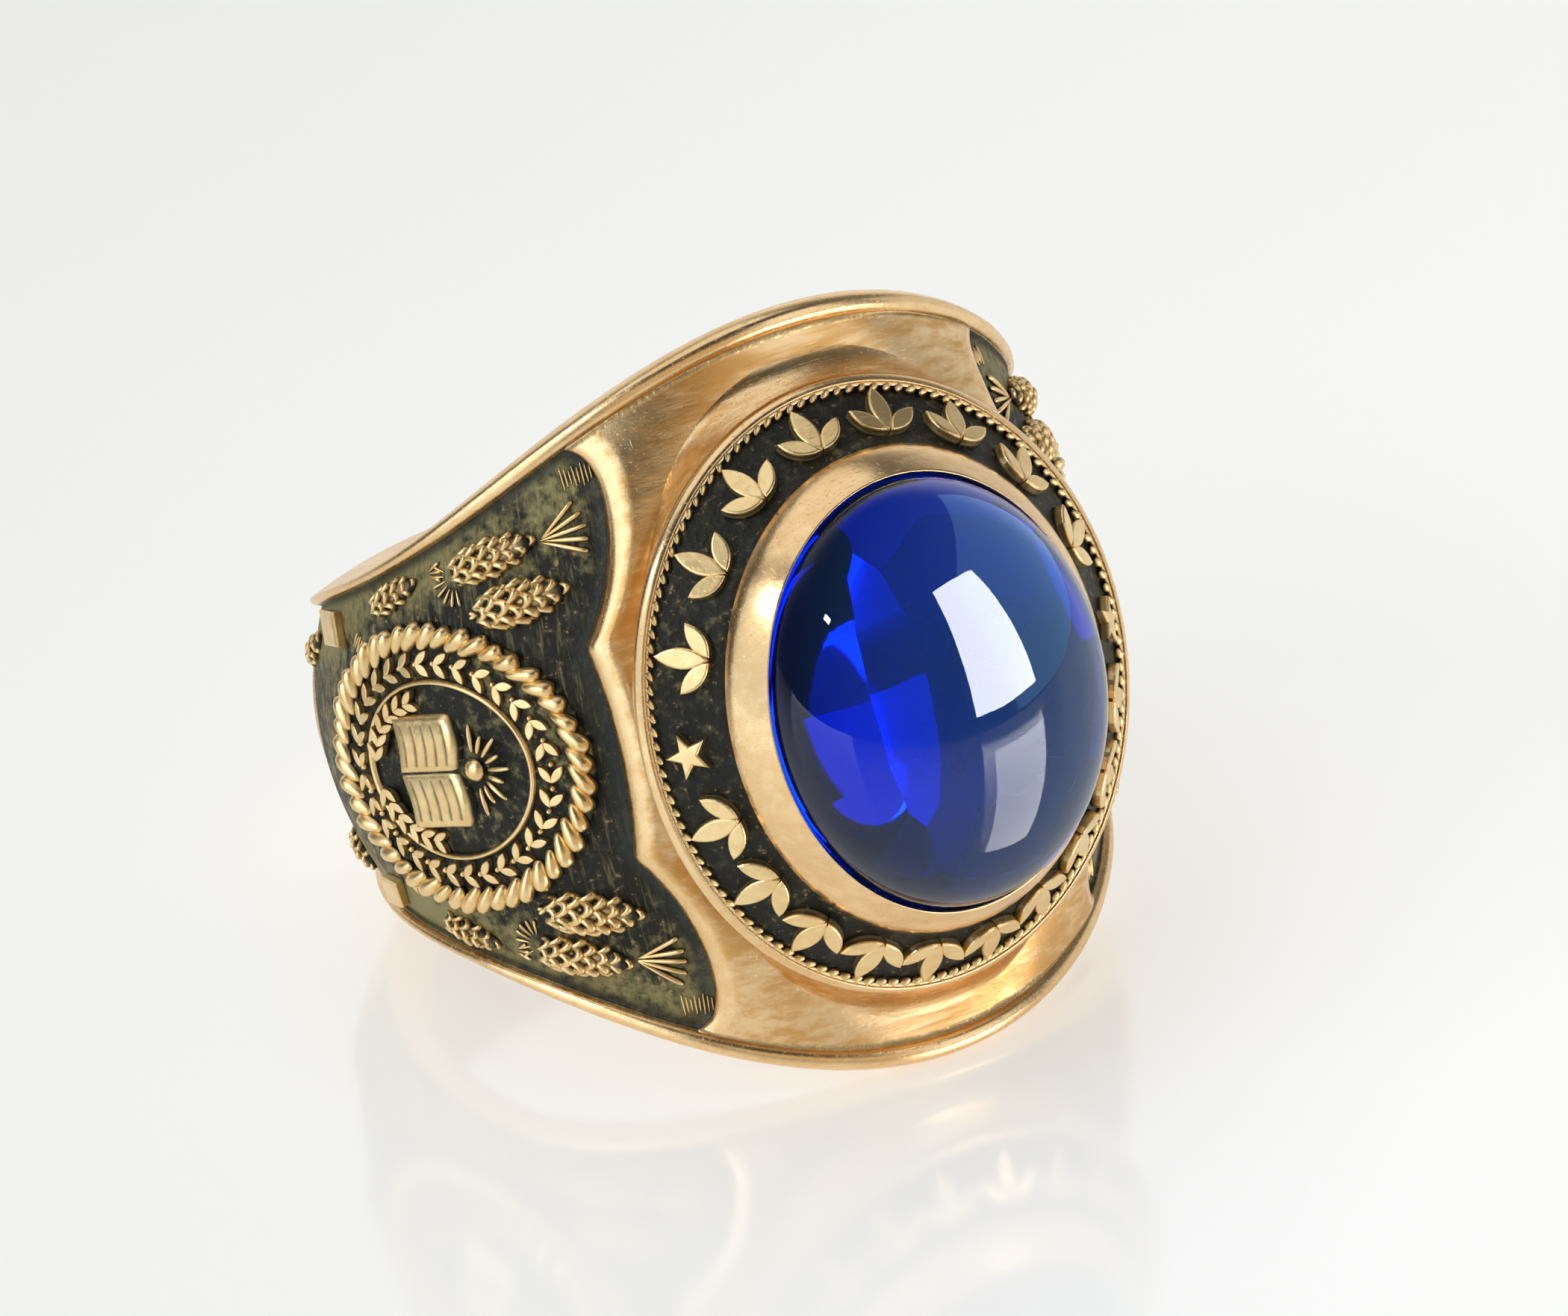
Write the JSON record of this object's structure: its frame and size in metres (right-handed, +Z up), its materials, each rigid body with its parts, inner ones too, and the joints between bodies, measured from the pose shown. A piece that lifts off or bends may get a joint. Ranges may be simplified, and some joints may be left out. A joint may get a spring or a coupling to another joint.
{
  "type": "class ring",
  "caption": "Cast gold class ring lying on its side: a wide tapering band with raised side panels holds a domed blue oval stone in a framed bezel.",
  "frame": {"origin": "centre of the bounding box at the surface the ring lies on", "axes": "+Z up from that surface, -Y towards the stone, +X to the right seen from the stone; the finger's axis leans from +Z towards +Y"},
  "size_m": [0.0234, 0.0293, 0.0209],
  "materials": {
    "gold": "polished",
    "blue_stone": "polished"
  },
  "bodies": {
    "root": {"ring_body": "gold", "stone": "blue_stone"}
  },
  "joints": []
}
